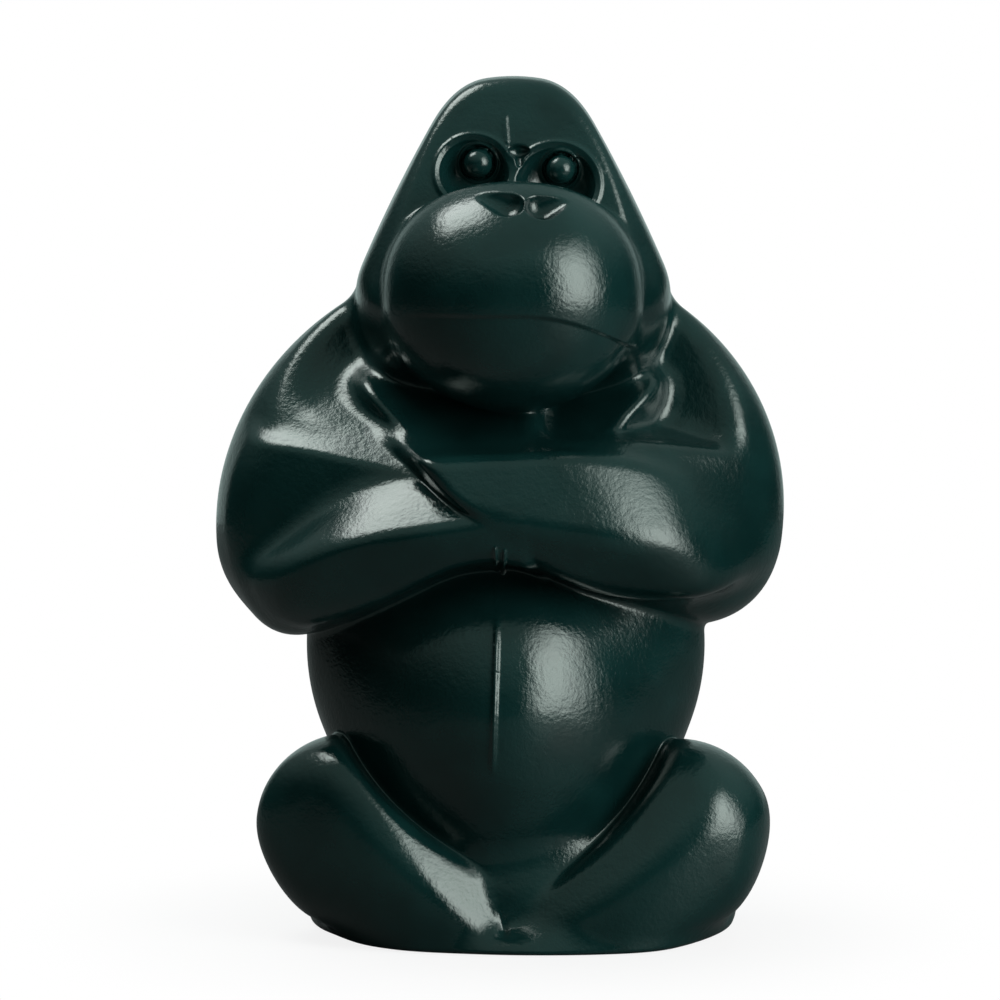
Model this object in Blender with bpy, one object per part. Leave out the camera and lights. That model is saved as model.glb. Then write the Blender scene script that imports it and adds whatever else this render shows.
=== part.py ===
"""A seated gorilla figurine, mould-blown as one piece of dark green glass.

The body is one closed skin, described as a field: negative inside the glass and zero
on its surface. Each form of the animal is a ball, a limb or a soft-edged block of
facets, and the forms are blended with a fillet, as a modeller joins lumps of clay. The
sizes are in millimetres. The front faces -Y, +Z is up, and the origin is in the middle
of the base.
"""

import math

import bpy
import numpy as np
import openvdb
from mathutils import Euler

MM = 0.001

# How far a face bulges, as the radius of its dome
NEARLY_FLAT = 900.0
BROAD = 500.0
CROWN_BULGE = 60.0
NOSE_BULGE = 80.0
MUZZLE_BULGE = 66.0

# Head: the cheeks' height carries the brow, the crown and the muzzle
HEAD_MIDDLE = 4.5
CHEEK_HEIGHT = 222.0
CHEEK_HALF_WIDTH = 55.0
BROW_HEIGHT = CHEEK_HEIGHT + 37.0
HEAD_HALF_WIDTH_AT_BROW = 38.6
CROWN_HEIGHT = BROW_HEIGHT + 36.3
FACE_FRONT = 33.4
FACE_SLOPE = (0, -0.955, 0.296)
HEAD_BACK = 42.0
HEAD_EDGE = 8.0
FACE_EDGE = 4.0
FACE_BEVEL = 4.2

# Eyes: each socket and eyeball is placed from the middle of the head and the brow height
LEFT_SOCKET = (-13.5, 4.4)
LEFT_SOCKET_RADII = (12.5, 9.5, 12.6)
RIGHT_SOCKET = (14.5, 0.3)
RIGHT_SOCKET_RADII = (14.2, 10.0, 14.4)
SOCKET_SADDLE = 5.0
LEFT_EYE = (-12.0, 6.9)
RIGHT_EYE = (15.9, 4.8)
EYE_RADIUS = 5.1
EYE_INSET = 1.2
LID_GAP = 1.5
LID_HEIGHT = 0.9
SOCKET_RIM_WIDTH = 0.9
SOCKET_RIM_HEIGHT = 0.7
BROW_PIT = (1.9, 10.4)

# Muzzle
MUZZLE_CENTRE = (HEAD_MIDDLE - 0.2, -36.0, CHEEK_HEIGHT + 0.5)
MUZZLE_RADII = (44.2, 49.0, 41.0)
MUZZLE_FRONT = 45.5
CHIN_DROP = 4.5
CHIN_RADII = (42.8, 45.0, 35.5)
NOSE_RISE = 35.5
MOUTH_DROP = 6.1
MOUTH_STEP = 0.9
NOSTRIL_RADIUS = 5.4
NOSTRIL_TAIL_RADIUS = 1.3

# Shoulders and back
DOME_CENTRE = (0.0, 5.0, 143.5)
DOME_RADII = (98.5, 57.0, 91.0)
DOME_LEAN = 0.045
ELBOW_HEIGHT = 103.0
ELBOW_ROUNDING = 40.0
CHEST_EDGE = (80.0, -24.0, 168.0)

# Neck
NECK_KEEL_HALF_SPREAD = 33.5
NECK_FRONT = 38.0
NECK_FOOT_HEIGHT = 173.0

# Crossed arms
ARMS_TOP = 167.0
ARMS_FRONT = 63.0
OVER_ARM_PROUD = 4.0
CREST_HEIGHT = 143.5
HAND_TIP = (-16.0, -62.0, 152.6)

# Waist, belly and seat
WAIST_CENTRE = (2.0, 10.0, 98.0)
WAIST_RADII = (69.5, 50.0, 74.0)
SEAT_CENTRE = (9.0, 4.0, 8.0)
SEAT_RADII = (70.0, 52.0, 50.0)
BELLY_CENTRE = (2.5, -12.0, 74.0)
BELLY_RADII = (60.0, 53.5, 60.0)
BELLY_FRONT = 64.0

# Legs and feet
LEFT_KNEE = (-51.0, -22.0, 37.5)
RIGHT_KNEE = (61.0, -22.0, 35.5)
KNEE_RADIUS = 33.2
LEFT_FOOT = (2.0, -48.0, 4.0)
RIGHT_FOOT = (18.0, -48.0, 4.0)
FOOT_RADIUS = 22.0
FEET_MIDDLE = 12.0
FEET_FRONT = 59.0
FEET_ROUND = 150.0
BASE_EDGE = 2.0

# Mould seam and wrinkles
SEAM_WIDTH = 1.0
SEAM_HEIGHT = 1.0

# Grid and faces of the solid
GRID_STEP = 2.0
TRIANGLES = 11000
MARGIN = 6.0


def length(v):
    return np.sqrt(np.einsum("...i,...i->...", v, v))


def unit(v):
    v = np.array(v, float)
    return v / np.linalg.norm(v)


def turned(degrees):
    """The rotation matrix of three angles about X, Y and Z."""
    return np.array(Euler([math.radians(a) for a in degrees]).to_matrix())


def ball(p, centre, radii, turn=(0, 0, 0)):
    """Distance to an ellipsoid."""
    q = (p - centre) @ turned(turn)
    near = length(q / radii)
    steep = length(q / np.square(radii))
    return near * (near - 1) / np.maximum(steep, 1e-6)


def limb(p, start, end, start_radius, end_radius):
    """Distance to a tapered limb with round ends."""
    start = np.array(start, float)
    end = np.array(end, float)
    axis = end - start
    along2 = axis @ axis
    taper = start_radius - end_radius
    slope = along2 - taper * taper
    q = p - start
    y = q @ axis
    z = y - along2
    across = q * along2 - axis * y[..., None]
    x2 = np.einsum("...i,...i->...", across, across)
    y2 = y * y * along2
    z2 = z * z * along2
    k = np.sign(taper) * taper * taper * x2
    side = (np.sqrt(x2 * slope / along2) + y * taper) / along2 - start_radius
    far = np.sqrt(x2 + z2) / along2 - end_radius
    near = np.sqrt(x2 + y2) / along2 - start_radius
    return np.where(np.sign(z) * slope * z2 > k, far, np.where(np.sign(y) * slope * y2 < k, near, side))


def facet(p, point, normal, bulge):
    """Distance to a broad face through a point, domed, or hollow where the bulge is negative."""
    n = unit(normal)
    d = length(p - (np.array(point, float) - n * bulge)) - abs(bulge)
    return math.copysign(1, bulge) * d


def blend(a, b, fillet):
    """Union with a fillet in the crease."""
    h = np.maximum(fillet - np.abs(a - b), 0) / fillet
    return np.minimum(a, b) - h * h * fillet / 4


def trim(a, b, edge):
    """Intersection with a rounded edge."""
    return -blend(-a, -b, edge)


def carve(a, b, edge):
    """Cut b out of a, with a rounded rim."""
    return trim(a, -b, edge)


def block(p, facets, edge):
    """A soft-edged block: what lies behind every one of the facets."""
    d = facet(p, *facets[0])
    for f in facets[1:]:
        d = trim(d, facet(p, *f), edge)
    return d


def welt(p, start, end, width, height):
    """Height of a thin raised line on the front, between two points given as (x, z)."""
    a = np.array(start, float)
    along = np.array(end, float) - a
    q = p[..., ::2] - a
    share = np.clip(q @ along / (along @ along), 0, 1)
    away = length(q - share[..., None] * along)
    fade = np.clip(8 * share * (1 - share), 0, 1)
    return np.where(p[..., 1] < 0, height * fade * np.exp(-np.square(away / width)), 0)


def ring(d, gap, width, height):
    """Height of a thin raised line that runs around a form, at a gap from its surface."""
    return height * np.exp(-np.square((d - gap) / width))


def leaning(p, per_mm, level):
    """The points moved sideways in proportion to their height, so that a form leans."""
    q = p.copy()
    q[..., 0] -= per_mm * (p[..., 2] - level)
    return q


def face_y(z):
    """Where the flat face lies at a height."""
    return -FACE_FRONT + (z - BROW_HEIGHT) * -FACE_SLOPE[2] / FACE_SLOPE[1]


def hood(p):
    """The head: a tall wedge with a flat face, a crest and cheek corners."""
    m = HEAD_MIDDLE
    brow = HEAD_HALF_WIDTH_AT_BROW
    cheek = CHEEK_HALF_WIDTH
    outline = (
        ((m, -5, CROWN_HEIGHT), (0, 0.06, 1), CROWN_BULGE),
        ((m - brow, -10, BROW_HEIGHT), (-0.885, -0.03, 0.45), BROAD),
        ((m + brow, -10, BROW_HEIGHT), (0.885, -0.03, 0.45), BROAD),
    )
    cheeks = (
        ((m - cheek, 0, CHEEK_HEIGHT), (-1, 0.05, -0.08), 300),
        ((m + cheek, 0, CHEEK_HEIGHT), (1, 0.05, -0.08), 300),
    )
    jaw = CHEEK_HEIGHT + 10
    ends = (
        ((m, face_y(BROW_HEIGHT), BROW_HEIGHT), FACE_SLOPE, NEARLY_FLAT),
        ((m - cheek + 4.5, face_y(jaw) + 4, jaw), (-0.90, -0.40, -0.18), 200),
        ((m + cheek - 4.5, face_y(jaw) + 4, jaw), (0.90, -0.40, -0.18), 200),
        ((m, face_y(CHEEK_HEIGHT) + 3, CHEEK_HEIGHT - 19), (0, -0.6, -0.8), 300),
        ((m, HEAD_BACK, BROW_HEIGHT - 9), (0, 1, 0.35), 120),
        ((m, 0, CHEEK_HEIGHT - 42), (0, 0, -1), BROAD),
    )
    d = block(p, outline, HEAD_EDGE)
    for f in (*cheeks, *ends):
        d = trim(d, facet(p, *f), FACE_EDGE)
    for side in (-1, 1):
        rim = (m + side * (brow - FACE_BEVEL), face_y(BROW_HEIGHT), BROW_HEIGHT)
        d = trim(d, facet(p, rim, (side * 0.78, -0.50, 0.37), BROAD), FACE_EDGE / 2)
    return d - welt(p, (m - 2.9, BROW_HEIGHT + 24.5), (m - 2.2, BROW_HEIGHT + 12.5), SEAM_WIDTH, SEAM_HEIGHT)


def on_face(offset, inset):
    """A point on the face from its sideways and upward offsets, set back by the inset."""
    z = BROW_HEIGHT + offset[1]
    return (HEAD_MIDDLE + offset[0], face_y(z) + inset, z)


def face(p, d):
    """Eye sockets and eyes in the front of the head."""
    left = ball(p, on_face(LEFT_SOCKET, 0), LEFT_SOCKET_RADII)
    right = ball(p, on_face(RIGHT_SOCKET, 0), RIGHT_SOCKET_RADII)
    pit = blend(left, right, SOCKET_SADDLE)
    d = d - ring(pit, SOCKET_RIM_WIDTH, SOCKET_RIM_WIDTH, SOCKET_RIM_HEIGHT)
    x, z = BROW_PIT
    notch = limb(p, on_face((x, z), 0), on_face((x, z - 3.4), -0.4), 2.4, 0.8)
    d = carve(carve(d, notch, 0.8), pit, 0.8)
    sides = []
    for eye in (LEFT_EYE, RIGHT_EYE):
        front = on_face(eye, EYE_INSET + EYE_RADIUS / 2)
        root = on_face(eye, EYE_INSET + 3 * EYE_RADIUS)
        sides.append(limb(p, front, root, EYE_RADIUS, EYE_RADIUS - 0.1))
    eyes = np.minimum(sides[0], sides[1])
    return blend(d - ring(eyes, LID_GAP, LID_GAP / 2, LID_HEIGHT), eyes, 0.6)


def muzzle(p):
    """The muzzle: a bun with a flatter front, a tilted nose plane and a fine step at the mouth."""
    x, y, z = MUZZLE_CENTRE
    upper = ball(p, MUZZLE_CENTRE, MUZZLE_RADII)
    lower = ball(p, (x + 0.3, y + 2, z - CHIN_DROP), CHIN_RADII)
    nose = facet(p, (x + 2, y - 24, z + NOSE_RISE), (0, -0.42, 0.91), NOSE_BULGE)
    front = facet(p, (x, y - MUZZLE_FRONT, z + 2), (0, -1, 0.05), MUZZLE_BULGE)
    bridge = facet(p, (x, y - 20, z + NOSE_RISE + 4.5), (0, 0.25, 0.97), 120)
    d = blend(trim(trim(upper, nose, 6), bridge, 3), lower, 3)
    d = trim(d, front, 12)
    right = np.square(np.maximum(p[..., 0] - x - 2, 0)) / 120
    left = np.square(np.maximum(x - 24 - p[..., 0], 0)) / 300
    below = np.clip((z - MOUTH_DROP - right - left - p[..., 2]) / 2.0 + 0.5, 0, 1)
    fade = np.clip((p[..., 0] - x + 36) / 16, 0, 1) * np.clip((x + 46 - p[..., 0]) / 6, 0, 1)
    return d + MOUTH_STEP * fade * below * below * (3 - 2 * below)


def nostrils(p, d):
    """Two teardrop nostrils on the nose plane."""
    x, y, z = MUZZLE_CENTRE
    z = z + NOSE_RISE
    left = limb(p, (x - 1.9, y - 30, z - 2.7), (x - 13.8, y - 24, z), NOSTRIL_RADIUS, NOSTRIL_TAIL_RADIUS)
    near, far = (x + 9.5, y - 30, z - 3.7), (x + 20.2, y - 24, z - 1.8)
    right = limb(p, near, far, NOSTRIL_RADIUS, NOSTRIL_TAIL_RADIUS)
    return carve(d, np.minimum(left, right), 1.2)


def underside(p):
    """The arms' undersides, which meet in a soft gable over the belly."""
    left = facet(p, (-66, 0, ELBOW_HEIGHT + 2), (0.36, 0, -0.93), BROAD)
    right = facet(p, (66, 0, ELBOW_HEIGHT - 1), (-0.36, 0, -0.93), BROAD)
    return blend(left, right, 20)


def left_wall(p):
    """The left upper arm's front, behind the forearm."""
    return facet(p, (-52, 23 - ARMS_FRONT, ARMS_TOP - 9), (-0.29, -0.955, 0.08), 260)


def mantle(p):
    """Shoulders, back and upper arms: one broad dome, cut underneath and hollowed at the chest."""
    wall = left_wall(p)
    p = leaning(p, DOME_LEAN, DOME_CENTRE[2])
    dome = trim(ball(p, DOME_CENTRE, DOME_RADII), underside(p), ELBOW_ROUNDING)
    dome = trim(dome, wall, 8)
    x, y, z = CHEST_EDGE
    walls = (((-x, y, z), (-0.30, 0.90, -0.32), BROAD), ((x, y, z), (0.30, 0.90, -0.32), BROAD))
    left = block(p, (*walls, ((-55, -43, z - 2), (0.05, 0.62, -0.78), NEARLY_FLAT)), 8)
    floor = ((0, y, z - 2), (0, -0.2, -1), NEARLY_FLAT)
    right = block(p, (*walls, floor, ((8, 0, z), (-1, 0, 0.3), NEARLY_FLAT)), 8)
    return carve(dome, blend(left, right, 8), 6)


def neck(p):
    """The neck under the muzzle: two keels with a valley between, down to the crossed arms."""
    sides = []
    for side in (-1, 1):
        ridge = (3 + side * NECK_KEEL_HALF_SPREAD, -NECK_FRONT, NECK_FOOT_HEIGHT + 1)
        faces = (
            (ridge, (-side * 0.36, -0.62, 0.70), BROAD),
            (ridge, (side * 0.72, -0.45, -0.53), BROAD),
            ((3, -NECK_FRONT, NECK_FOOT_HEIGHT), (0, -0.3, -1), 300),
            ((3, 20, 200), (0, 1, 0), BROAD),
        )
        top = facet(p, (3 + side * CHEEK_HALF_WIDTH, -22, NECK_FOOT_HEIGHT + 20), (side * 0.7, 0, 0.7), 100)
        sides.append(trim(block(p, faces, 4), top, 14))
    return blend(sides[0], sides[1], 10)


def reach(p, front):
    """The space that an arm stays inside, rounded at the elbow."""
    x, y, z = DOME_CENTRE
    envelope = ball(p, (x + 1, y - 17, z), (DOME_RADII[0] - 4, front + 3, 70))
    return trim(envelope, underside(p), ELBOW_ROUNDING / 3)


def sleeve(p):
    """The left upper arm's front, which stands up behind the forearm and ends in a shelf."""
    shelf = facet(p, (-50, -50, ARMS_TOP - 2.5), (0.17, -0.12, 1), NEARLY_FLAT)
    end = facet(p, (-8, -40, ARMS_TOP), (1, 0.2, 0.3), NEARLY_FLAT)
    return trim(trim(trim(reach(p, ARMS_FRONT), end, 8), left_wall(p), 8), shelf, 3)


def under_arm(p):
    """The left forearm, with a slope above its crest that faces up."""
    crest = CREST_HEIGHT
    front = ARMS_FRONT
    faces = (
        ((-50, -50, ARMS_TOP - 2.5), (0.17, -0.12, 1), NEARLY_FLAT),
        ((-25, 3.5 - front, crest + 9.5), (-0.20, -0.66, 0.72), 300),
        ((-41.8, -3 - front, crest - 0.5), (-0.15, -0.93, -0.33), 220),
        ((15, -50, 150), (1, -0.2, 0), 200),
    )
    d = reach(p, front)
    for f in faces:
        d = trim(d, facet(p, *f), 4)
    d = trim(d, facet(p, (-65, 5 - front, crest - 9.5), (-0.62, -0.45, 0.64), 200), 6)
    return blend(d, sleeve(p), 4)


def over_arm(p):
    """The right forearm, which lies over the left one and ends in the hand."""
    crest = CREST_HEIGHT
    front = ARMS_FRONT + OVER_ARM_PROUD
    faces = (
        ((30, -55, ARMS_TOP + 4), (0.01, -0.15, 1), NEARLY_FLAT),
        ((17, -3 - front, crest + 1.5), (0.10, -0.95, 0.30), NEARLY_FLAT),
        ((17, -3 - front, crest + 0.5), (-0.05, -0.85, -0.52), 250),
        (HAND_TIP, (-0.70, -0.25, -0.66), 100),
    )
    d = reach(p, front)
    for f in faces:
        d = trim(d, facet(p, *f), 4)
    return trim(d, facet(p, (61.5, 3 - front, crest - 4.5), (0.70, -0.59, 0.38), 200), 16)


def arms(p, d):
    """Both forearms, crossed, the right one over the left."""
    return blend(d, blend(under_arm(p), over_arm(p), 1.5), 8)


def torso(p):
    return blend(ball(p, WAIST_CENTRE, WAIST_RADII), ball(p, SEAT_CENTRE, SEAT_RADII), 14)


def belly(p):
    """The belly: two halves that meet at the mould seam, narrowing to a point between the legs."""
    x, y, z = BELLY_CENTRE
    d = ball(p, BELLY_CENTRE, BELLY_RADII)
    for side in (-1, 1):
        d = trim(d, facet(p, (x - 1.5, -BELLY_FRONT, z + 16), (side * 0.26, -0.95, 0.14), 85), 5)
        d = trim(d, facet(p, (x - 2.5, 7 - BELLY_FRONT, z - 24), (side * 0.24, -0.84, -0.49), 300), 9)
    seam = welt(p, (x - 3.5, z + 40), (x - 5.1, z - 12), SEAM_WIDTH, SEAM_HEIGHT)
    return d - seam


def leg(p, side, knee, foot, top, shin):
    """One folded leg: a limb from knee to foot, with a hollow top edge, a shin facet and a front."""
    x, y, z = knee
    d = limb(p, knee, foot, KNEE_RADIUS, FOOT_RADIUS)
    d = trim(d, facet(p, (x - side * 27.5, y - 27, z), shin, 260), 4)
    d = trim(d, facet(p, (x - side * 22.5, y - 28, z + 4.5), top, -130), 4)
    return trim(d, facet(p, (x + side * 4, y - 34, z - 8.5), (side * 0.20, -0.97, -0.08), 150), 5)


def legs(p):
    left = leg(p, -1, LEFT_KNEE, LEFT_FOOT, (0.62, 0.08, 0.77), (0.40, -0.80, 0.44))
    right = leg(p, 1, RIGHT_KNEE, RIGHT_FOOT, (-0.70, 0.02, 0.71), (-0.34, -0.82, 0.46))
    m = FEET_MIDDLE
    sole = (
        ((m - 88.5, -10, 14.5), (-0.79, -0.3, -0.61), 160),
        ((m + 78, -10, 14.5), (0.85, -0.3, -0.53), 160),
        ((m, -30, 14), (0, -0.3, 1), 200),
        ((m, 40, 20), (0, 1, 0), BROAD),
        ((m + 4, -FEET_FRONT - 8, 4), (0, -1, 0.02), FEET_ROUND),
    )
    d = blend(blend(left, right, 2), block(p, sole, 8), 6)
    d = trim(d, facet(p, (m + 4, -FEET_FRONT - 1, 3), (0, -0.97, -0.25), FEET_ROUND), 7)
    d = trim(d, facet(p, (m - 89, -15, 15), (-0.84, -0.1, -0.53), 160), 6)
    d = trim(d, facet(p, (m + 76.5, -15, 15), (0.92, -0.1, -0.38), 120), 6)
    return d + welt(p, (m - 10.4, 20), (m - 11, 5), 1.6 * SEAM_WIDTH, 1.5 * SEAM_HEIGHT)


def figure(p):
    """The whole figurine's field at the points p."""
    d = torso(p)
    d = blend(d, belly(p), 8)
    d = blend(d, legs(p), 2)
    d = blend(d, arms(p, blend(mantle(p), neck(p), 6)), 3)
    d = blend(d, face(p, hood(p)), 6)
    d = blend(d, nostrils(p, muzzle(p)), 2)
    return trim(d, -p[..., 2], BASE_EDGE)


def bounds():
    """A box around the figurine."""
    lean = DOME_LEAN * DOME_RADII[2]
    knees = KNEE_RADIUS + max(RIGHT_KNEE[0], -LEFT_KNEE[0])
    side = max(abs(DOME_CENTRE[0]) + DOME_RADII[0] + lean, knees)
    arms_front = 17 + ARMS_FRONT + OVER_ARM_PROUD
    front = max(MUZZLE_RADII[1] - MUZZLE_CENTRE[1], arms_front, BELLY_RADII[1] - BELLY_CENTRE[1])
    back = max(DOME_CENTRE[1] + DOME_RADII[1], WAIST_CENTRE[1] + WAIST_RADII[1], HEAD_BACK + 25)
    top = max(CROWN_HEIGHT, DOME_CENTRE[2] + DOME_RADII[2])
    low = np.array([-side - MARGIN, -front - MARGIN, -MARGIN])
    high = np.array([side + MARGIN, back + MARGIN, top + MARGIN])
    return low, high


def grid_points(low, high, step):
    counts = np.ceil((high - low) / step).astype(int) + 1
    axes = [low[i] + step * np.arange(counts[i]) for i in range(3)]
    return np.stack(np.meshgrid(*axes, indexing="ij"), axis=-1)


def sampled(field, low, high, step):
    """The field on a grid: on every fourth point first, then exactly wherever the skin is near."""
    coarse = 4 * step
    values = field(grid_points(low, high + coarse, coarse))
    for axis in range(3):
        size = values.shape[axis]
        spread = np.arange(4 * (size - 1)) / 4
        whole = spread.astype(int)
        part = (spread - whole).reshape([-1 if i == axis else 1 for i in range(3)])
        values = np.take(values, whole, axis) * (1 - part) + np.take(values, whole + 1, axis) * part
    near = np.abs(values) < 1.5 * coarse
    values[near] = field(low + step * np.argwhere(near))
    return values


def gradient(field, p, reach=0.05):
    steps = reach * np.eye(3)
    return np.stack([field(p + s) - field(p - s) for s in steps], axis=-1) / (2 * reach)


def skin(field, low, high, step):
    """Points and quads of the field's zero surface, each point moved onto the true surface."""
    grid = openvdb.FloatGrid(100.0)
    grid.copyFromArray(np.ascontiguousarray(sampled(field, low, high, step), np.float32))
    points, quads = grid.convertToQuads(0.0)
    points = low + step * points.astype(float)
    for _ in range(3):
        slope = gradient(field, points)
        steep = np.maximum(np.einsum("ij,ij->i", slope, slope), 0.05)
        points = points - np.clip(field(points)[:, None] * slope / steep[:, None], -step / 2, step / 2)
    return points, quads


def glass():
    """Deep green glass, opaque to the eye, with a polished surface."""
    m = bpy.data.materials.new("green_glass")
    m.use_nodes = True
    shader = m.node_tree.nodes["Principled BSDF"]
    shader.inputs["Base Color"].default_value = (0.012, 0.034, 0.031, 1)
    shader.inputs["Roughness"].default_value = 0.12
    shader.inputs["Metallic"].default_value = 0.0
    return m


def build(name, step):
    points, quads = skin(figure, *bounds(), step)
    mesh = bpy.data.meshes.new(name)
    mesh.from_pydata((points * MM).tolist(), [], quads.tolist())
    mesh.validate()
    mesh.shade_smooth()
    mesh.materials.append(glass())
    body = bpy.data.objects.new(name, mesh)
    bpy.context.scene.collection.objects.link(body)
    return body


def main():
    for old in list(bpy.data.objects):
        bpy.data.objects.remove(old)
    body = build("gorilla", GRID_STEP)
    fewer = body.modifiers.new("fewer_faces", "DECIMATE")
    fewer.ratio = TRIANGLES / (2 * len(body.data.polygons))
    fewer.use_collapse_triangulate = True


if __name__ == "__main__":
    main()
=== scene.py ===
"""Looks of the seated gorilla figurine: dark green glass on a pale stage.

The forms are the solid's, in millimetres, on a finer skin, with some face, shin and belly
details that are a little finer than the solid's. The scene is in metres.
"""

import math

import bpy
import numpy as np
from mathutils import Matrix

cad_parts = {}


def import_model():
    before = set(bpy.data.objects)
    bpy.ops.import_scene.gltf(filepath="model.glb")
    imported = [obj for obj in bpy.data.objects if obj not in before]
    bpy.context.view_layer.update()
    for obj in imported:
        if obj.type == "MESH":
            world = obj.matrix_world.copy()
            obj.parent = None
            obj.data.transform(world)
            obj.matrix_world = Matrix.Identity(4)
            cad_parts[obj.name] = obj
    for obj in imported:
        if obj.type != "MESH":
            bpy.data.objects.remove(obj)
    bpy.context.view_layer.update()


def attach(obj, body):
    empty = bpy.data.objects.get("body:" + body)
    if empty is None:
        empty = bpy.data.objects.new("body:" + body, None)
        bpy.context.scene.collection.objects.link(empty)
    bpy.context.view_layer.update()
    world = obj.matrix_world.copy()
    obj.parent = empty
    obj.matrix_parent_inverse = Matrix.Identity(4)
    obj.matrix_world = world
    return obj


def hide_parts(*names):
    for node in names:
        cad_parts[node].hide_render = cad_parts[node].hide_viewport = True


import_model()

import openvdb
from mathutils import Euler, Vector

MM = 0.001

# How far a face bulges, as the radius of its dome; a facet is a point, a direction and a bulge
NEARLY_FLAT = 900.0
BROAD = 500.0
CROWN_BULGE = 60.0
NOSE_BULGE = 80.0
MUZZLE_BULGE = 66.0

# Head: the cheeks' height carries the brow, the crown and the muzzle
HEAD_MIDDLE = 4.5
CHEEK_HEIGHT = 222.0
CHEEK_HALF_WIDTH = 55.0
BROW_HEIGHT = CHEEK_HEIGHT + 37.0
HEAD_HALF_WIDTH_AT_BROW = 38.6
CROWN_HEIGHT = BROW_HEIGHT + 36.3
FACE_FRONT = 33.4
FACE_SLOPE = (0, -0.955, 0.296)
HEAD_BACK = 42.0
HEAD_EDGE = 8.0
FACE_EDGE = 4.0
FACE_BEVEL = 4.2

# Eyes: each socket and eyeball is placed from the middle of the head and the brow height
LEFT_SOCKET = (-13.5, 4.4)
LEFT_SOCKET_RADII = (11.3, 8.9, 11.4)
RIGHT_SOCKET = (14.5, 0.3)
RIGHT_SOCKET_RADII = (13.0, 9.4, 13.1)
SOCKET_SADDLE = 7.0
LEFT_EYE = (-12.0, 6.9)
RIGHT_EYE = (15.9, 4.8)
EYE_RADIUS = 4.9
EYE_INSET = 1.2
LID_GAP = 1.5
LID_HEIGHT = 0.9
SOCKET_RIM_WIDTH = 0.9
SOCKET_RIM_HEIGHT = 0.7
BROW_PIT = (1.9, 10.4)
BROW_PIT_RADII = (3.7, 1.9, 1.9)
CRISP_RIM = 0.8

# Forehead line: its ends, from the middle of the head and the brow height
FOREHEAD_LINE = ((-2.9, 24.5), (-2.2, 12.5))
FOREHEAD_LINE_HEIGHT = 0.45

# Muzzle
MUZZLE_CENTRE = (HEAD_MIDDLE - 0.2, -36.0, CHEEK_HEIGHT + 0.5)
MUZZLE_RADII = (44.2, 49.0, 41.0)
MUZZLE_FRONT = 45.5
CHIN_DROP = 4.5
CHIN_RADII = (42.8, 45.0, 35.5)
NOSE_RISE = 35.5
MOUTH_DROP = 6.1
MOUTH_STEP = 0.9
NOSTRIL_RADIUS = 5.8
NOSTRIL_TAIL_RADIUS = 1.3
NOSTRIL_RIM = 0.9

# Shoulders and back
DOME_CENTRE = (0.0, 5.0, 143.5)
DOME_RADII = (98.5, 57.0, 91.0)
DOME_LEAN = 0.045
ELBOW_HEIGHT = 103.0
ELBOW_ROUNDING = 40.0
CHEST_EDGE = (80.0, -24.0, 168.0)

# Neck
NECK_KEEL_HALF_SPREAD = 33.5
NECK_FRONT = 38.0
NECK_FOOT_HEIGHT = 173.0

# Crossed arms
ARMS_TOP = 167.0
ARMS_FRONT = 63.0
OVER_ARM_PROUD = 4.0
CREST_HEIGHT = 143.5
HAND_TIP = (-16.0, -62.0, 152.6)

# Waist, belly and seat
WAIST_CENTRE = (2.0, 10.0, 98.0)
WAIST_RADII = (69.5, 50.0, 74.0)
SEAT_CENTRE = (9.0, 4.0, 8.0)
SEAT_RADII = (70.0, 52.0, 50.0)
BELLY_CENTRE = (2.5, -12.0, 74.0)
BELLY_RADII = (60.0, 53.5, 60.0)
BELLY_FRONT = 64.0

# Legs and feet
LEFT_KNEE = (-51.0, -22.0, 37.5)
RIGHT_KNEE = (61.0, -22.0, 35.5)
KNEE_RADIUS = 33.2
LEFT_FOOT = (2.0, -48.0, 4.0)
RIGHT_FOOT = (18.0, -48.0, 4.0)
FOOT_RADIUS = 22.0
FEET_MIDDLE = 12.0
FEET_FRONT = 59.0
FEET_ROUND = 150.0
BASE_EDGE = 2.0

# Mould seam, and the wrinkles where the hands meet, each from one (x, z) to another
SEAM_WIDTH = 1.0
SEAM_HEIGHT = 1.0
WRINKLES = (((-1.7, 140), (-1.0, 128)), ((1.6, 139), (0.9, 127)))
WRINKLE_WIDTH = 0.6
WRINKLE_HEIGHT = 0.7

# Fillets where the large forms meet
BELLY_FILLET = 8
LEGS_FILLET = 2
NECK_FILLET = 6
ARMS_FILLET = 3
HEAD_FILLET = 6
MUZZLE_FILLET = 2

# Room around the figurine; the coarse grid's stride, and the band around the skin in its steps;
# the least squared slope that a move is divided by; the field's value far outside
MARGIN = 6.0
STRIDE = 4
BAND = 1.5
LEAST_SLOPE = 0.05
OUTSIDE = 100.0

# The furthest move of a thinned or added point onto the surface
NUDGE = 0.3


def length(v):
    return np.sqrt(np.einsum("...i,...i->...", v, v))


def unit(v):
    v = np.array(v, float)
    return v / np.linalg.norm(v)


def turned(degrees):
    """The rotation matrix of three angles about X, Y and Z."""
    return np.array(Euler([math.radians(a) for a in degrees]).to_matrix())


def ball(p, centre, radii, turn=(0, 0, 0)):
    """Distance to an ellipsoid."""
    q = (p - centre) @ turned(turn)
    near = length(q / radii)
    steep = length(q / np.square(radii))
    return near * (near - 1) / np.maximum(steep, 1e-6)


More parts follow.
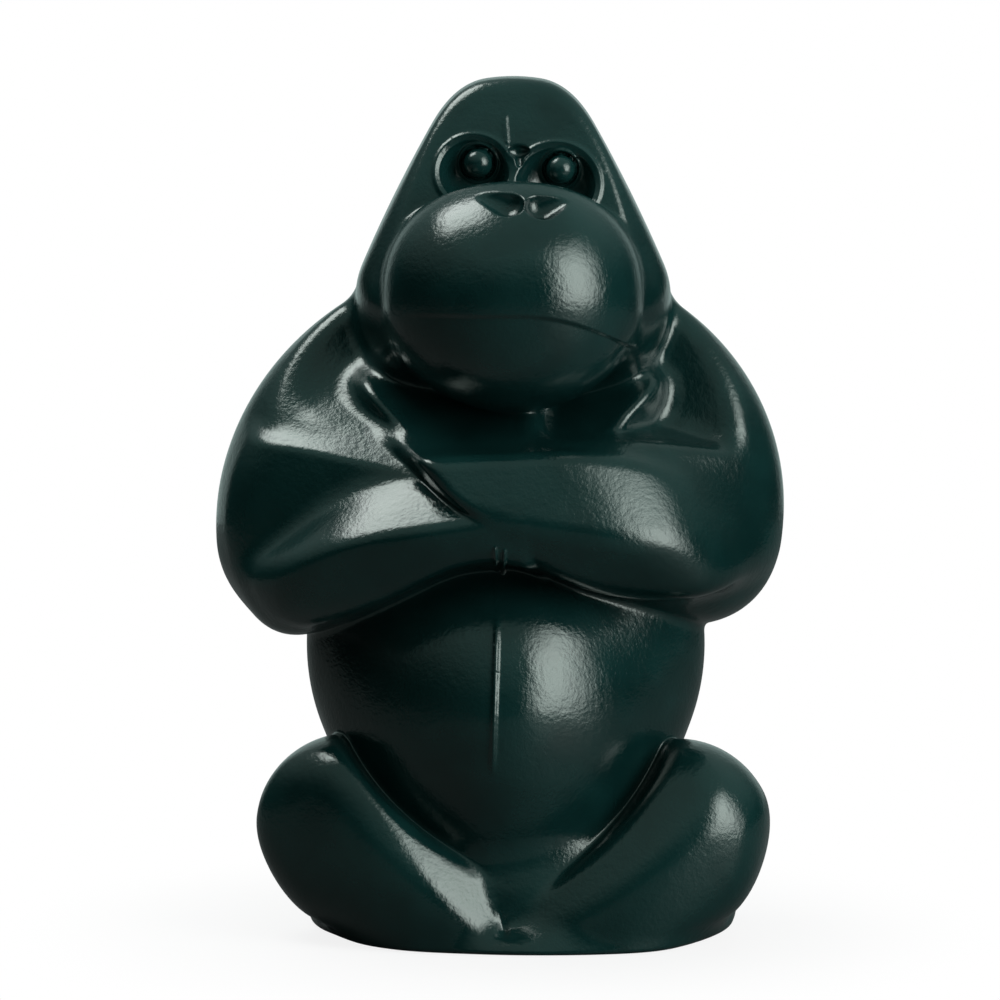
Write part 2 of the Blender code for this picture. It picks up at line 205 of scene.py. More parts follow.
def limb(p, start, end, start_radius, end_radius):
    """Distance to a tapered limb with round ends."""
    start = np.array(start, float)
    end = np.array(end, float)
    axis = end - start
    along2 = axis @ axis
    taper = start_radius - end_radius
    slope = along2 - taper * taper
    q = p - start
    y = q @ axis
    z = y - along2
    across = q * along2 - axis * y[..., None]
    x2 = np.einsum("...i,...i->...", across, across)
    y2 = y * y * along2
    z2 = z * z * along2
    k = np.sign(taper) * taper * taper * x2
    side = (np.sqrt(x2 * slope / along2) + y * taper) / along2 - start_radius
    far = np.sqrt(x2 + z2) / along2 - end_radius
    near = np.sqrt(x2 + y2) / along2 - start_radius
    side = np.where(np.sign(y) * slope * y2 < k, near, side)
    return np.where(np.sign(z) * slope * z2 > k, far, side)


def facet(p, point, normal, bulge):
    """Distance to a broad face through a point, domed, or hollow where the bulge is negative."""
    n = unit(normal)
    d = length(p - (np.array(point, float) - n * bulge)) - abs(bulge)
    return math.copysign(1, bulge) * d


def blend(a, b, fillet):
    """Union with a fillet in the crease."""
    h = np.maximum(fillet - np.abs(a - b), 0) / fillet
    return np.minimum(a, b) - h * h * fillet / 4


def trim(a, b, edge):
    """Intersection with a rounded edge."""
    return -blend(-a, -b, edge)


def carve(a, b, edge):
    """Cut b out of a, with a rounded rim."""
    return trim(a, -b, edge)


def block(p, facets, edge):
    """A soft-edged block: what lies behind every one of the facets."""
    d = facet(p, *facets[0])
    for f in facets[1:]:
        d = trim(d, facet(p, *f), edge)
    return d


def welt(p, start, end, width, height):
    """Height of a thin raised line on the front, between two points given as (x, z)."""
    a = np.array(start, float)
    along = np.array(end, float) - a
    q = p[..., ::2] - a
    share = np.clip(q @ along / (along @ along), 0, 1)
    away = length(q - share[..., None] * along)
    fade = np.clip(8 * share * (1 - share), 0, 1)
    return np.where(p[..., 1] < 0, height * fade * np.exp(-np.square(away / width)), 0)


def ring(d, gap, width, height):
    """Height of a thin raised line that runs around a form, at a gap from its surface."""
    return height * np.exp(-np.square((d - gap) / width))


def leaning(p, per_mm, level):
    """The points moved sideways in proportion to their height, so that a form leans."""
    q = p.copy()
    q[..., 0] -= per_mm * (p[..., 2] - level)
    return q


def face_y(z):
    """Where the flat face lies at a height."""
    return -FACE_FRONT + (z - BROW_HEIGHT) * -FACE_SLOPE[2] / FACE_SLOPE[1]


def hood(p):
    """The head: a tall wedge with a flat face, a crest and cheek corners."""
    m = HEAD_MIDDLE
    brow = HEAD_HALF_WIDTH_AT_BROW
    cheek = CHEEK_HALF_WIDTH
    outline = (
        ((m, -5, CROWN_HEIGHT), (0, 0.06, 1), CROWN_BULGE),
        ((m - brow, -10, BROW_HEIGHT), (-0.885, -0.03, 0.45), BROAD),
        ((m + brow, -10, BROW_HEIGHT), (0.885, -0.03, 0.45), BROAD),
    )
    cheeks = (
        ((m - cheek, 0, CHEEK_HEIGHT), (-1, 0.05, -0.08), 300),
        ((m + cheek, 0, CHEEK_HEIGHT), (1, 0.05, -0.08), 300),
    )
    jaw = CHEEK_HEIGHT + 10
    others = (
        ((m, face_y(BROW_HEIGHT), BROW_HEIGHT), FACE_SLOPE, NEARLY_FLAT),
        ((m - cheek + 4.5, face_y(jaw) + 4, jaw), (-0.90, -0.40, -0.18), 200),
        ((m + cheek - 4.5, face_y(jaw) + 4, jaw), (0.90, -0.40, -0.18), 200),
        ((m, face_y(CHEEK_HEIGHT) + 3, CHEEK_HEIGHT - 19), (0, -0.6, -0.8), 300),
        ((m, HEAD_BACK, BROW_HEIGHT - 9), (0, 1, 0.35), 120),
        ((m, 0, CHEEK_HEIGHT - 42), (0, 0, -1), BROAD),
    )
    d = block(p, outline, HEAD_EDGE)
    for f in (*cheeks, *others):
        d = trim(d, facet(p, *f), FACE_EDGE)
    for side in (-1, 1):
        rim = (m + side * (brow - FACE_BEVEL), face_y(BROW_HEIGHT), BROW_HEIGHT)
        d = trim(d, facet(p, rim, (side * 0.78, -0.50, 0.37), BROAD), FACE_EDGE / 2)
    ends = [(m + x, BROW_HEIGHT + z) for x, z in FOREHEAD_LINE]
    return d - welt(p, *ends, SEAM_WIDTH, FOREHEAD_LINE_HEIGHT)


def on_face(offset, inset):
    """A point on the face from its sideways and upward offsets, set back by the inset."""
    z = BROW_HEIGHT + offset[1]
    return (HEAD_MIDDLE + offset[0], face_y(z) + inset, z)


def face(p, d):
    """Eye sockets, the pit between the brows and the eyes, in the front of the head."""
    left = ball(p, on_face(LEFT_SOCKET, 0), LEFT_SOCKET_RADII)
    right = ball(p, on_face(RIGHT_SOCKET, 0), RIGHT_SOCKET_RADII)
    pit = blend(left, right, SOCKET_SADDLE)
    d = d - ring(pit, 2 * SOCKET_RIM_WIDTH, SOCKET_RIM_WIDTH, SOCKET_RIM_HEIGHT)
    x, z = BROW_PIT
    notch = limb(p, on_face((x, z), 0.3), on_face((x, z - 3.6), 0.2), 2.0, 0.9)
    notch = blend(notch, ball(p, on_face((x, z + 0.6), 0.3), BROW_PIT_RADII), 1.6)
    d = carve(carve(d, notch, CRISP_RIM), pit, CRISP_RIM)
    sides = []
    for eye in (LEFT_EYE, RIGHT_EYE):
        front = on_face(eye, EYE_INSET + EYE_RADIUS / 2)
        root = on_face(eye, EYE_INSET + 3 * EYE_RADIUS)
        sides.append(limb(p, front, root, EYE_RADIUS, EYE_RADIUS - 0.1))
    eyes = np.minimum(sides[0], sides[1])
    return blend(d - ring(eyes, LID_GAP, LID_GAP / 2, LID_HEIGHT), eyes, 0.6)


def muzzle(p):
    """The muzzle: a bun with a flatter front, a tilted nose plane and a fine step at the mouth."""
    x, y, z = MUZZLE_CENTRE
    upper = ball(p, MUZZLE_CENTRE, MUZZLE_RADII)
    lower = ball(p, (x + 0.3, y + 2, z - CHIN_DROP), CHIN_RADII)
    nose = facet(p, (x + 2, y - 24, z + NOSE_RISE), (0, -0.50, 0.866), NOSE_BULGE)
    front = facet(p, (x, y - MUZZLE_FRONT, z + 2), (0, -1, 0.05), MUZZLE_BULGE)
    bridge = facet(p, (x, y - 20, z + NOSE_RISE + 4.5), (0, 0.25, 0.97), 120)
    d = blend(trim(trim(upper, nose, 3.5), bridge, 3), lower, 3)
    d = trim(d, front, 12)
    right = np.square(np.maximum(p[..., 0] - x - 2, 0)) / 120
    left = np.square(np.maximum(x - 24 - p[..., 0], 0)) / 300
    below = np.clip((z - MOUTH_DROP - right - left - p[..., 2]) / 2.0 + 0.5, 0, 1)
    fade = np.clip((p[..., 0] - x + 36) / 16, 0, 1) * np.clip((x + 46 - p[..., 0]) / 6, 0, 1)
    return d + MOUTH_STEP * fade * below * below * (3 - 2 * below)


def nostrils(p, d):
    """Two teardrop nostrils on the nose plane."""
    x, y, z = MUZZLE_CENTRE
    z = z + NOSE_RISE
    drops = []
    for near, far in (
        ((x - 1.9, y - 29.6, z - 4.2), (x - 13.8, y - 24, z)),
        ((x + 9.5, y - 29.6, z - 5.2), (x + 20.2, y - 24, z - 1.8)),
    ):
        drops.append(limb(p, near, far, NOSTRIL_RADIUS, NOSTRIL_TAIL_RADIUS))
    return carve(d, np.minimum(drops[0], drops[1]), NOSTRIL_RIM)


def underside(p):
    """The arms' undersides, which meet in a soft gable over the belly."""
    left = facet(p, (-66, 0, ELBOW_HEIGHT + 2), (0.36, 0, -0.93), BROAD)
    right = facet(p, (66, 0, ELBOW_HEIGHT - 1), (-0.36, 0, -0.93), BROAD)
    return blend(left, right, 20)


def left_wall(p):
    """The left upper arm's front, behind the forearm."""
    return facet(p, (-52, 23 - ARMS_FRONT, ARMS_TOP - 9), (-0.29, -0.955, 0.08), 260)


def mantle(p):
    """Shoulders, back and upper arms: one broad dome, cut underneath and hollowed at the chest."""
    wall = left_wall(p)
    p = leaning(p, DOME_LEAN, DOME_CENTRE[2])
    dome = trim(ball(p, DOME_CENTRE, DOME_RADII), underside(p), ELBOW_ROUNDING)
    dome = trim(dome, wall, 8)
    x, y, z = CHEST_EDGE
    walls = (((-x, y, z), (-0.30, 0.90, -0.32), BROAD), ((x, y, z), (0.30, 0.90, -0.32), BROAD))
    left = block(p, (*walls, ((-55, -43, z - 2), (0.05, 0.62, -0.78), NEARLY_FLAT)), 8)
    shelf = ((0, y, z - 2), (0, -0.2, -1), NEARLY_FLAT)
    right = block(p, (*walls, shelf, ((8, 0, z), (-1, 0, 0.3), NEARLY_FLAT)), 8)
    return carve(dome, blend(left, right, 8), 6)


def neck(p):
    """The neck under the muzzle: two keels with a valley between, down to the crossed arms."""
    sides = []
    for side in (-1, 1):
        ridge = (3 + side * NECK_KEEL_HALF_SPREAD, -NECK_FRONT, NECK_FOOT_HEIGHT + 1)
        faces = (
            (ridge, (-side * 0.36, -0.62, 0.70), BROAD),
            (ridge, (side * 0.72, -0.45, -0.53), BROAD),
            ((3, -NECK_FRONT, NECK_FOOT_HEIGHT), (0, -0.3, -1), 300),
            ((3, 20, 200), (0, 1, 0), BROAD),
        )
        corner = (3 + side * CHEEK_HALF_WIDTH, -22, NECK_FOOT_HEIGHT + 20)
        top = facet(p, corner, (side * 0.7, 0, 0.7), 100)
        sides.append(trim(block(p, faces, 4), top, 14))
    return blend(sides[0], sides[1], 10)


def reach(p, front):
    """The space that an arm stays inside, rounded at the elbow."""
    x, y, z = DOME_CENTRE
    envelope = ball(p, (x + 1, y - 17, z), (DOME_RADII[0] - 4, front + 3, 70))
    return trim(envelope, underside(p), ELBOW_ROUNDING / 3)


def sleeve(p):
    """The left upper arm's front, which stands up behind the forearm and ends in a shelf."""
    shelf = facet(p, (-50, -50, ARMS_TOP - 2.5), (0.17, -0.12, 1), NEARLY_FLAT)
    end = facet(p, (-8, -40, ARMS_TOP), (1, 0.2, 0.3), NEARLY_FLAT)
    return trim(trim(trim(reach(p, ARMS_FRONT), end, 8), left_wall(p), 8), shelf, 3)


def under_arm(p):
    """The left forearm, with a slope above its crest that faces up."""
    crest = CREST_HEIGHT
    front = ARMS_FRONT
    faces = (
        ((-50, -50, ARMS_TOP - 2.5), (0.17, -0.12, 1), NEARLY_FLAT),
        ((-25, 3.5 - front, crest + 9.5), (-0.20, -0.66, 0.72), 300),
        ((-41.8, -3 - front, crest - 0.5), (-0.15, -0.93, -0.33), 220),
        ((15, -50, 150), (1, -0.2, 0), 200),
    )
    d = reach(p, front)
    for f in faces:
        d = trim(d, facet(p, *f), 4)
    d = trim(d, facet(p, (-65, 5 - front, crest - 9.5), (-0.62, -0.45, 0.64), 200), 6)
    return blend(d, sleeve(p), 4)


def over_arm(p):
    """The right forearm, which lies over the left one and ends in the hand."""
    crest = CREST_HEIGHT
    front = ARMS_FRONT + OVER_ARM_PROUD
    faces = (
        ((30, -55, ARMS_TOP + 4), (0.01, -0.15, 1), NEARLY_FLAT),
        ((17, -3 - front, crest + 1.5), (0.10, -0.95, 0.30), NEARLY_FLAT),
        ((17, -3 - front, crest + 0.5), (-0.05, -0.85, -0.52), 250),
        (HAND_TIP, (-0.70, -0.25, -0.66), 100),
    )
    d = reach(p, front)
    for f in faces:
        d = trim(d, facet(p, *f), 4)
    return trim(d, facet(p, (61.5, 3 - front, crest - 4.5), (0.70, -0.59, 0.38), 200), 16)


def arms(p, d):
    """Both forearms, crossed, the right one over the left."""
    return blend(d, blend(under_arm(p), over_arm(p), 1.5), 8)


def torso(p):
    return blend(ball(p, WAIST_CENTRE, WAIST_RADII), ball(p, SEAT_CENTRE, SEAT_RADII), 14)


def belly(p):
    """The belly: two halves that meet at the mould seam, narrowing to a point between the legs."""
    x, _, z = BELLY_CENTRE
    d = ball(p, BELLY_CENTRE, BELLY_RADII)
    upper = (x - 1.5, -BELLY_FRONT, z + 16)
    lower = (x - 2.5, 7 - BELLY_FRONT, z - 24)
    for side in (-1, 1):
        d = trim(d, facet(p, upper, (side * 0.26, -0.95, 0.14), 85), 5)
        d = trim(d, facet(p, lower, (side * 0.24, -0.84, -0.49), 300), 9)
    return d - welt(p, (x - 3.5, z + 40), (x - 5.1, z - 12), SEAM_WIDTH, SEAM_HEIGHT)


def leg(p, side, knee, foot, top, shin):
    """One folded leg: a limb from knee to foot, with a hollow top, a shin facet and a front."""
    x, y, z = knee
    d = limb(p, knee, foot, KNEE_RADIUS, FOOT_RADIUS)
    d = trim(d, facet(p, (x - side * 27.5, y - 25.2, z), shin, 260), 4)
    d = trim(d, facet(p, (x - side * 22.5, y - 28, z + 4.5), top, -130), 4)
    return trim(d, facet(p, (x + side * 4, y - 34, z - 8.5), (side * 0.20, -0.97, -0.08), 150), 5)


def legs(p):
    left = leg(p, -1, LEFT_KNEE, LEFT_FOOT, (0.62, 0.08, 0.77), (0.40, -0.80, 0.44))
    right = leg(p, 1, RIGHT_KNEE, RIGHT_FOOT, (-0.70, 0.02, 0.71), (-0.34, -0.82, 0.46))
    m = FEET_MIDDLE
    sole = (
        ((m - 88.5, -10, 14.5), (-0.79, -0.3, -0.61), 160),
        ((m + 78, -10, 14.5), (0.85, -0.3, -0.53), 160),
        ((m, -30, 14), (0, -0.3, 1), 200),
        ((m, 40, 20), (0, 1, 0), BROAD),
        ((m + 4, -FEET_FRONT - 8, 4), (0, -1, 0.02), FEET_ROUND),
    )
    d = blend(blend(left, right, 2), block(p, sole, 8), 6)
    d = trim(d, facet(p, (m + 4, -FEET_FRONT - 1, 3), (0, -0.97, -0.25), FEET_ROUND), 7)
    d = trim(d, facet(p, (m - 89, -15, 15), (-0.84, -0.1, -0.53), 160), 6)
    d = trim(d, facet(p, (m + 76.5, -15, 15), (0.92, -0.1, -0.38), 120), 6)
    return d + welt(p, (m - 10.4, 20), (m - 11, 5), 1.6 * SEAM_WIDTH, 1.5 * SEAM_HEIGHT)


def figure(p):
    """The whole figurine's field at the points p."""
    d = torso(p)
    d = blend(d, belly(p), BELLY_FILLET)
    d = blend(d, legs(p), LEGS_FILLET)
    d = blend(d, arms(p, blend(mantle(p), neck(p), NECK_FILLET)), ARMS_FILLET)
    d = blend(d, face(p, hood(p)), HEAD_FILLET)
    d = blend(d, nostrils(p, muzzle(p)), MUZZLE_FILLET)
    for start, end in WRINKLES:
        d = d - welt(p, start, end, WRINKLE_WIDTH, WRINKLE_HEIGHT)
    return trim(d, -p[..., 2], BASE_EDGE)


def bounds():
    """A box around the figurine."""
    lean = DOME_LEAN * DOME_RADII[2]
    knees = KNEE_RADIUS + max(RIGHT_KNEE[0], -LEFT_KNEE[0])
    side = max(abs(DOME_CENTRE[0]) + DOME_RADII[0] + lean, knees)
    arms_front = 17 + ARMS_FRONT + OVER_ARM_PROUD
    front = max(MUZZLE_RADII[1] - MUZZLE_CENTRE[1], arms_front, BELLY_RADII[1] - BELLY_CENTRE[1])
    back = max(DOME_CENTRE[1] + DOME_RADII[1], WAIST_CENTRE[1] + WAIST_RADII[1], HEAD_BACK + 25)
    top = max(CROWN_HEIGHT, DOME_CENTRE[2] + DOME_RADII[2])
    low = np.array([-side - MARGIN, -front - MARGIN, -MARGIN])
    high = np.array([side + MARGIN, back + MARGIN, top + MARGIN])
    return low, high


def grid_points(low, high, step):
    counts = np.ceil((high - low) / step).astype(int) + 1
    axes = [low[i] + step * np.arange(counts[i]) for i in range(3)]
    return np.stack(np.meshgrid(*axes, indexing="ij"), axis=-1)


def sampled(field, low, high, step):
    """The field on a grid: on a coarse grid first, then exactly wherever the skin is near."""
    coarse = STRIDE * step
    values = field(grid_points(low, high + coarse, coarse))
    for axis in range(3):
        size = values.shape[axis]
        spread = np.arange(STRIDE * (size - 1)) / STRIDE
        whole = spread.astype(int)
        part = (spread - whole).reshape([-1 if i == axis else 1 for i in range(3)])
        below, above = np.take(values, whole, axis), np.take(values, whole + 1, axis)
        values = below * (1 - part) + above * part
    near = np.abs(values) < BAND * coarse
    values[near] = field(low + step * np.argwhere(near))
    return values


def gradient(field, p, step=0.05):
    steps = step * np.eye(3)
    return np.stack([field(p + s) - field(p - s) for s in steps], axis=-1) / (2 * step)


def onto(field, points, furthest):
    """The points moved onto the field's surface, none by more than the furthest in an axis."""
    slope = gradient(field, points)
    steep = np.maximum(np.einsum("ij,ij->i", slope, slope), LEAST_SLOPE)
    move = field(points)[:, None] * slope / steep[:, None]
    return points - np.clip(move, -furthest, furthest)


def skin(field, low, high, step):
    """Points and quads of the field's zero surface, each point moved onto the true surface."""
    grid = openvdb.FloatGrid(OUTSIDE)
    grid.copyFromArray(np.ascontiguousarray(sampled(field, low, high, step), np.float32))
    points, quads = grid.convertToQuads(0.0)
    points = low + step * points.astype(float)
    for _ in range(3):
        points = onto(field, points, step / 2)
    return points, quads


# The skin: its grid, its triangles before and after the refining, and the rounds of refining
FINE_STEP = 1.5
BASE_TRIANGLES = 90000
SKIN_TRIANGLES = 196000
REFINING_ROUNDS = 3

# An edge is split when it is longer than this and the surface turns more than this along it (one
# less the cosine): the first two count where the forms are finest, the last two anywhere
FINE_EDGE = 0.75
FINE_TURN = 0.0008
SHORT_EDGE = 0.45
SHARP_TURN = 0.012

# Where the forms are finest: the face, and a strip along the seams
FACE_ZONE_FRONT = -40
FACE_ZONE_HALF_WIDTH = 50
FACE_ZONE_LOW = CHEEK_HEIGHT - 26
FACE_ZONE_HIGH = BROW_HEIGHT + 28
SEAM_ZONE_FRONT = -20
SEAM_ZONE_HALF_WIDTH = 4.5
SEAM_ZONE_HIGH = CHEEK_HEIGHT - 60

# Glass: two tints in slow clouds, a roughness that varies, and a thin clear coat
DEEP_TINT = (0.0022, 0.0165, 0.0155, 1)
CLEAR_TINT = (0.0048, 0.0280, 0.0262, 1)
ROUGHNESS = (0.13, 0.19)
REFRACTION = 1.52
REFLECTION_TINT = (0.85, 1.0, 0.92, 1)
COAT_WEIGHT = 0.15
COAT_ROUGHNESS = 0.06

# Bumps of the glass: the noise's scale, detail, roughness and distortion, then height and strength
BUMPS = (
    ((38, 2, 0.5, 0.4), 0.0010, 0.28),
    ((220, 2, 0.5, 0.3), 0.00036, 0.28),
    ((640, 3, 0.6, 0.0), 0.00034, 0.45),
)

# Softboxes: name, place, width, height, watts, and the shares over which the sides fade
SOFTBOXES = (
    ("right", (1.14, -0.76, 0.58), 1.45, 1.9, 60, (0.35, 0.5, 0.35, 0.45)),
    ("top", (-0.50, 0.12, 1.22), 0.9, 0.8, 17, (0.3, 0.3, 0.3, 0.3)),
)
SOFTBOX_AIM = (0, 0, 0.15)

# The room's glow: the span of a direction's height or depth, and the brightness at its ends
GLOW_ABOVE = (0.10, 0.75, 0.010, 0.36)
GLOW_BEHIND = (0.70, 1.0, 0.0, 0.50)
GLOW_TINT = (0.78, 1.0, 0.96)
WHITE = (1, 1, 1, 1)

# Floor, in metres: just under the base; then its shade in reflections and to the camera
FLOOR_RADIUS = 1.6
FLOOR_SIDES = 96
FLOOR_DROP = 0.0002
FLOOR_SHADES = (0.09, 0.80)
FLOOR_ROUGHNESS = 0.55
# The span of the distance from the middle over which the floor turns white, and how white
FLOOR_WHITENING = (0.06, 0.18, 0.86, 1.0)

# Camera, in metres and degrees
CAMERA_DISTANCE = 1.6
CAMERA_RISE = 5
CAMERA_AIM = (0, 0, 0.1492)
VIEW_WIDTH = 0.3463
FILM_WIDTH = 36


def link(tree, a, b):
    tree.links.new(a, b)


def put(name, data):
    """A new object in the scene."""
    o = bpy.data.objects.new(name, data)
    bpy.context.scene.collection.objects.link(o)
    return o


def noise(tree, coords, scale, detail, roughness, distortion=0.0):
    node = tree.nodes.new("ShaderNodeTexNoise")
    node.inputs["Scale"].default_value = scale
    node.inputs["Detail"].default_value = detail
    node.inputs["Roughness"].default_value = roughness
    node.inputs["Distortion"].default_value = distortion
    link(tree, coords, node.inputs["Vector"])
    return node.outputs["Fac"]


def ramp(tree, value, low, high, out_low, out_high):
    """A smooth step from one value to another over a span of the input."""
    node = tree.nodes.new("ShaderNodeMapRange")
    node.interpolation_type = "SMOOTHSTEP"
    node.inputs["From Min"].default_value = low
    node.inputs["From Max"].default_value = high
    node.inputs["To Min"].default_value = out_low
    node.inputs["To Max"].default_value = out_high
    link(tree, value, node.inputs["Value"])
    return node.outputs["Result"]


def reckon(tree, operation, a, b):
    """The sum or product of two outputs."""
    node = tree.nodes.new("ShaderNodeMath")
    node.operation = operation
    link(tree, a, node.inputs[0])
    link(tree, b, node.inputs[1])
    return node.outputs[0]


def bump(tree, height, distance, strength, normal=None):
    node = tree.nodes.new("ShaderNodeBump")
    node.inputs["Distance"].default_value = distance
    node.inputs["Strength"].default_value = strength
    link(tree, height, node.inputs["Height"])
    if normal is not None:
        link(tree, normal, node.inputs["Normal"])
    return node.outputs["Normal"]


def green_glass():
    """Deep green moulded glass: nearly black, with chill wrinkles and a fine orange peel."""
    m = bpy.data.materials.new("green_glass_finish")
    m.use_nodes = True
    tree = m.node_tree
    shader = tree.nodes["Principled BSDF"]
    place = tree.nodes.new("ShaderNodeTexCoord").outputs["Object"]
    cloud = noise(tree, place, 22, 3, 0.55)
    tint = tree.nodes.new("ShaderNodeMix")
    tint.data_type = "RGBA"
    tint.inputs["A"].default_value = DEEP_TINT
    tint.inputs["B"].default_value = CLEAR_TINT
    link(tree, ramp(tree, cloud, 0.35, 0.65, 0, 1), tint.inputs["Factor"])
    link(tree, tint.outputs["Result"], shader.inputs["Base Color"])
    dull = noise(tree, place, 60, 2, 0.5)
    link(tree, ramp(tree, dull, 0.35, 0.7, *ROUGHNESS), shader.inputs["Roughness"])
    normal = None
    for pattern, height, strength in BUMPS:
        normal = bump(tree, noise(tree, place, *pattern), height, strength, normal)
    link(tree, normal, shader.inputs["Normal"])
    shader.inputs["IOR"].default_value = REFRACTION
    shader.inputs["Specular Tint"].default_value = REFLECTION_TINT
    shader.inputs["Coat Weight"].default_value = COAT_WEIGHT
    shader.inputs["Coat Roughness"].default_value = COAT_ROUGHNESS
    return m


def outward(points):
    """The surface's directions at the points."""
    slope = gradient(figure, points)
    return slope / np.maximum(length(slope), 1e-6)[:, None]


def detailed(points):
    """True in the face and along the seams, where the forms are finest."""
    x, y, z = points.T
    face_zone = (y < FACE_ZONE_FRONT) & (abs(x - HEAD_MIDDLE) < FACE_ZONE_HALF_WIDTH)
    face_zone &= (z > FACE_ZONE_LOW) & (z < FACE_ZONE_HIGH)
    seam_zone = (y < SEAM_ZONE_FRONT) & (abs(x) < SEAM_ZONE_HALF_WIDTH) & (z < SEAM_ZONE_HIGH)
    return face_zone | seam_zone


def split(tris, middle, many):
    """The parts of triangles that have a new point on this many of their sides, or -1 for none."""
    start = np.zeros(len(tris), int)
    if many == 1:
        start = np.argmax(middle >= 0, axis=1)
    elif many == 2:
        start = (np.argmin(middle, axis=1) + 1) % 3
    order = (np.arange(3) + start[:, None]) % 3
    a, b, c = np.take_along_axis(tris, order, axis=1).T
    k, l, n = np.take_along_axis(middle, order, axis=1).T
    if many == 1:
        parts = ((a, k, c), (k, b, c))
    elif many == 2:
        parts = ((k, b, l), (a, k, l), (a, l, c))
    else:
        parts = ((a, k, n), (k, b, l), (n, l, c), (k, l, n))
    return [np.stack(part, axis=1) for part in parts]


def refined(points, tris, room):
    """Splits the edges of the finest forms and sharpest turns, and the triangles beside them.

    The room is the number of triangles that may be added; the edges that turn most go first.
    """
    corners = np.stack([tris, np.roll(tris, -1, axis=1)], axis=2)
    keys = corners.min(axis=2) * len(points) + corners.max(axis=2)
    edges, index = np.unique(keys.ravel(), return_inverse=True)
    pairs = np.stack([edges // len(points), edges % len(points)], axis=1)
    span = length(points[pairs[:, 0]] - points[pairs[:, 1]])
    way = outward(points)
    turn = 1 - np.einsum("ij,ij->i", way[pairs[:, 0]], way[pairs[:, 1]])
    middles = points[pairs].mean(axis=1)
    wanted = (span > FINE_EDGE) & detailed(middles) & (turn > FINE_TURN)
    wanted |= (span > SHORT_EDGE) & (turn > SHARP_TURN)
    worth = np.where(wanted, turn * span, -1.0)
    chosen = np.zeros(len(edges), bool)
    chosen[np.argsort(-worth)[: max(0, room // 3)]] = True
    chosen &= wanted
    middle = np.full(len(edges), -1)
    middle[chosen] = len(points) + np.arange(chosen.sum())
    points = np.vstack([points, onto(figure, middles[chosen], NUDGE)])
    middle = middle[index.reshape(-1, 3)]
    count = (middle >= 0).sum(axis=1)
    pieces = [tris[count == 0]]
    for many in (1, 2, 3):
        pieces += split(tris[count == many], middle[count == many], many)
    return points, np.vstack(pieces)


def fine_body():
    """The figurine's skin, thinned where it is flat and refined where its forms are finest."""
    points, quads = skin(figure, *bounds(), FINE_STEP)
    mesh = bpy.data.meshes.new("coarse")
    mesh.from_pydata((points * MM).tolist(), [], quads.tolist())
    coarse = put("coarse", mesh)
    thin = coarse.modifiers.new("thin", "DECIMATE")
    thin.ratio = min(1, BASE_TRIANGLES / (2 * len(mesh.polygons)))
    thinned = coarse.evaluated_get(bpy.context.evaluated_depsgraph_get()).to_mesh()
    thinned.calc_loop_triangles()
    points = np.empty(3 * len(thinned.vertices))
    thinned.vertices.foreach_get("co", points)
    tris = np.empty(3 * len(thinned.loop_triangles), int)
    thinned.loop_triangles.foreach_get("vertices", tris)
    points, tris = onto(figure, points.reshape(-1, 3) / MM, NUDGE), tris.reshape(-1, 3)
    bpy.data.objects.remove(coarse)
    bpy.data.meshes.remove(mesh)
    for _ in range(REFINING_ROUNDS):
        points, tris = refined(points, tris, SKIN_TRIANGLES - len(tris))
    mesh = bpy.data.meshes.new("gorilla_glass")
    mesh.from_pydata((points * MM).tolist(), [], tris.tolist())
    mesh.shade_smooth()
    mesh.normals_split_custom_set_from_vertices(outward(points).tolist())
    return put("gorilla_glass", mesh)


def softbox(name, place, wide, high, watts, fades):
    """A lamp that fades towards its left, right, lower and upper sides."""
    data = bpy.data.lights.new(name, "AREA")
    data.shape = "RECTANGLE"
    data.size, data.size_y, data.energy = wide, high, watts
    data.use_nodes = True
    tree = data.node_tree
    spot = tree.nodes.new("ShaderNodeSeparateXYZ")
    link(tree, tree.nodes.new("ShaderNodeNewGeometry").outputs["Parametric"], spot.inputs[0])
    left, right, low, up = fades
    across, along = spot.outputs["X"], spot.outputs["Y"]
    share = ramp(tree, across, 0, left, 0, 1)
    share = reckon(tree, "MULTIPLY", share, ramp(tree, across, 1 - right, 1, 1, 0))
    share = reckon(tree, "MULTIPLY", share, ramp(tree, along, 0, low, 0, 1))
    share = reckon(tree, "MULTIPLY", share, ramp(tree, along, 1 - up, 1, 1, 0))
    link(tree, share, tree.nodes["Emission"].inputs["Strength"])
    o = put(name, data)
    o.location = place
    o.rotation_euler = (Vector(SOFTBOX_AIM) - Vector(place)).to_track_quat("-Z", "Y").to_euler()


def world():
    """A faint glow from above and from behind, dark elsewhere; plain white to the camera."""
    w = bpy.data.worlds.new("studio")
    bpy.context.scene.world = w
    w.use_nodes = True
    tree = w.node_tree
    way = tree.nodes.new("ShaderNodeSeparateXYZ")
    link(tree, tree.nodes.new("ShaderNodeTexCoord").outputs["Generated"], way.inputs[0])
    high = ramp(tree, way.outputs["Z"], *GLOW_ABOVE)
    behind = ramp(tree, way.outputs["Y"], *GLOW_BEHIND)
    tinted = tree.nodes.new("ShaderNodeVectorMath")
    tinted.operation = "MULTIPLY"
    link(tree, reckon(tree, "ADD", high, behind), tinted.inputs[0])
    tinted.inputs[1].default_value = GLOW_TINT
    pick = tree.nodes.new("ShaderNodeMix")
    pick.data_type = "RGBA"
    seen = tree.nodes.new("ShaderNodeLightPath").outputs["Is Camera Ray"]
    link(tree, seen, pick.inputs["Factor"])
    link(tree, tinted.outputs[0], pick.inputs["A"])
    pick.inputs["B"].default_value = WHITE
    link(tree, pick.outputs["Result"], tree.nodes["Background"].inputs["Color"])


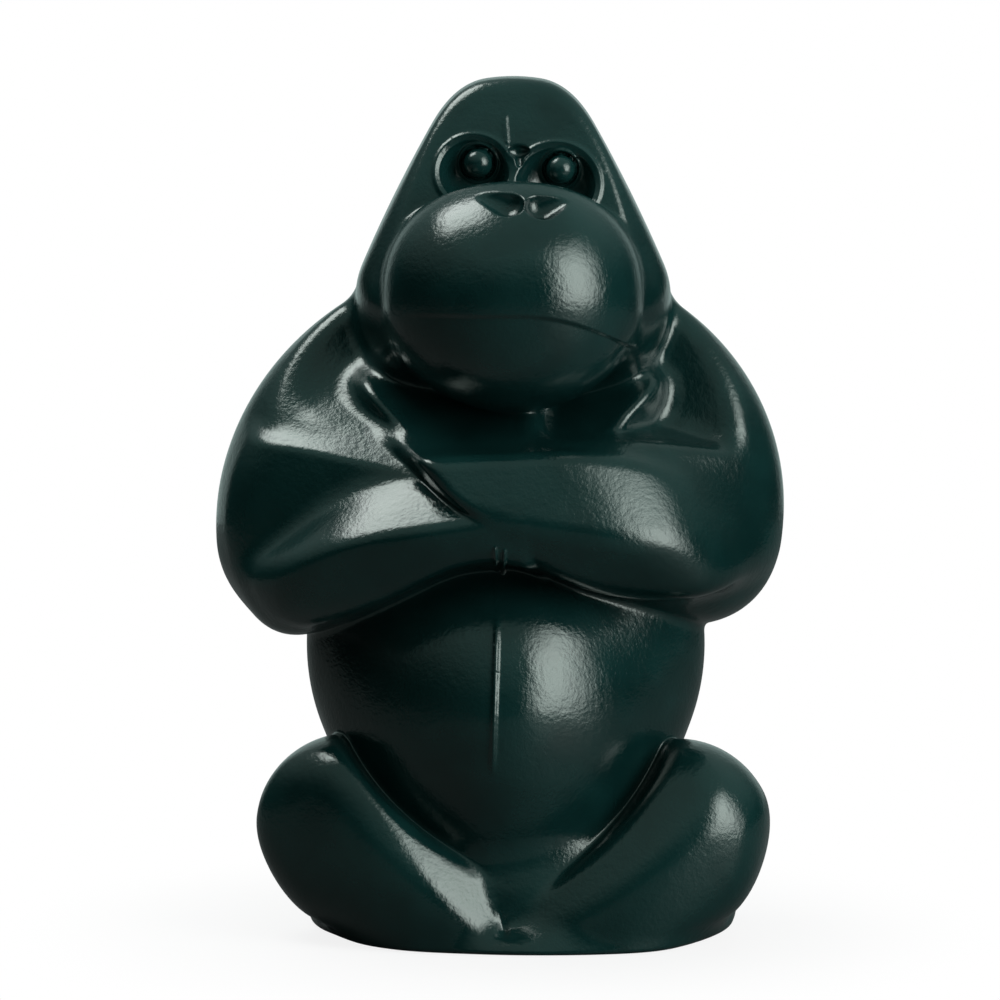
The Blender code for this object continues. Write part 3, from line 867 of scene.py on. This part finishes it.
def floor():
    """A round floor: to the camera white, with a faint shadow at the base; dark in reflections."""
    mesh = bpy.data.meshes.new("floor")
    angles = np.linspace(0, 2 * math.pi, FLOOR_SIDES, endpoint=False)
    edge = [(FLOOR_RADIUS * math.cos(a), FLOOR_RADIUS * math.sin(a), -FLOOR_DROP) for a in angles]
    mesh.from_pydata(edge, [], [list(range(FLOOR_SIDES))])
    m = bpy.data.materials.new("pale_floor")
    m.use_nodes = True
    tree = m.node_tree
    shader = tree.nodes["Principled BSDF"]
    seen = tree.nodes.new("ShaderNodeLightPath").outputs["Is Camera Ray"]
    link(tree, ramp(tree, seen, 0, 1, *FLOOR_SHADES), shader.inputs["Base Color"])
    shader.inputs["Roughness"].default_value = FLOOR_ROUGHNESS
    white = tree.nodes.new("ShaderNodeEmission")
    white.inputs["Strength"].default_value = 1.0
    away = tree.nodes.new("ShaderNodeVectorMath")
    away.operation = "LENGTH"
    link(tree, tree.nodes.new("ShaderNodeTexCoord").outputs["Object"], away.inputs[0])
    far = ramp(tree, away.outputs["Value"], *FLOOR_WHITENING)
    mix = tree.nodes.new("ShaderNodeMixShader")
    link(tree, reckon(tree, "MULTIPLY", far, seen), mix.inputs[0])
    link(tree, shader.outputs[0], mix.inputs[1])
    link(tree, white.outputs[0], mix.inputs[2])
    link(tree, mix.outputs[0], tree.nodes["Material Output"].inputs["Surface"])
    mesh.materials.append(m)
    put("floor", mesh)


def camera():
    """The photograph's view: from the front, a little above the middle of the figurine."""
    data = bpy.data.cameras.new("camera")
    data.lens = FILM_WIDTH * CAMERA_DISTANCE / VIEW_WIDTH
    o = put("camera", data)
    rise = math.radians(CAMERA_RISE)
    back = Vector((0, -math.cos(rise), math.sin(rise)))
    o.location = Vector(CAMERA_AIM) + CAMERA_DISTANCE * back
    o.rotation_euler = (-back).to_track_quat("-Z", "Y").to_euler()
    bpy.context.scene.camera = o


body = fine_body()
body.data.materials.append(green_glass())
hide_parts("gorilla")
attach(body, "root")

floor()
world()
for box in SOFTBOXES:
    softbox(*box)
camera()
bpy.context.scene.view_settings.view_transform = "Standard"
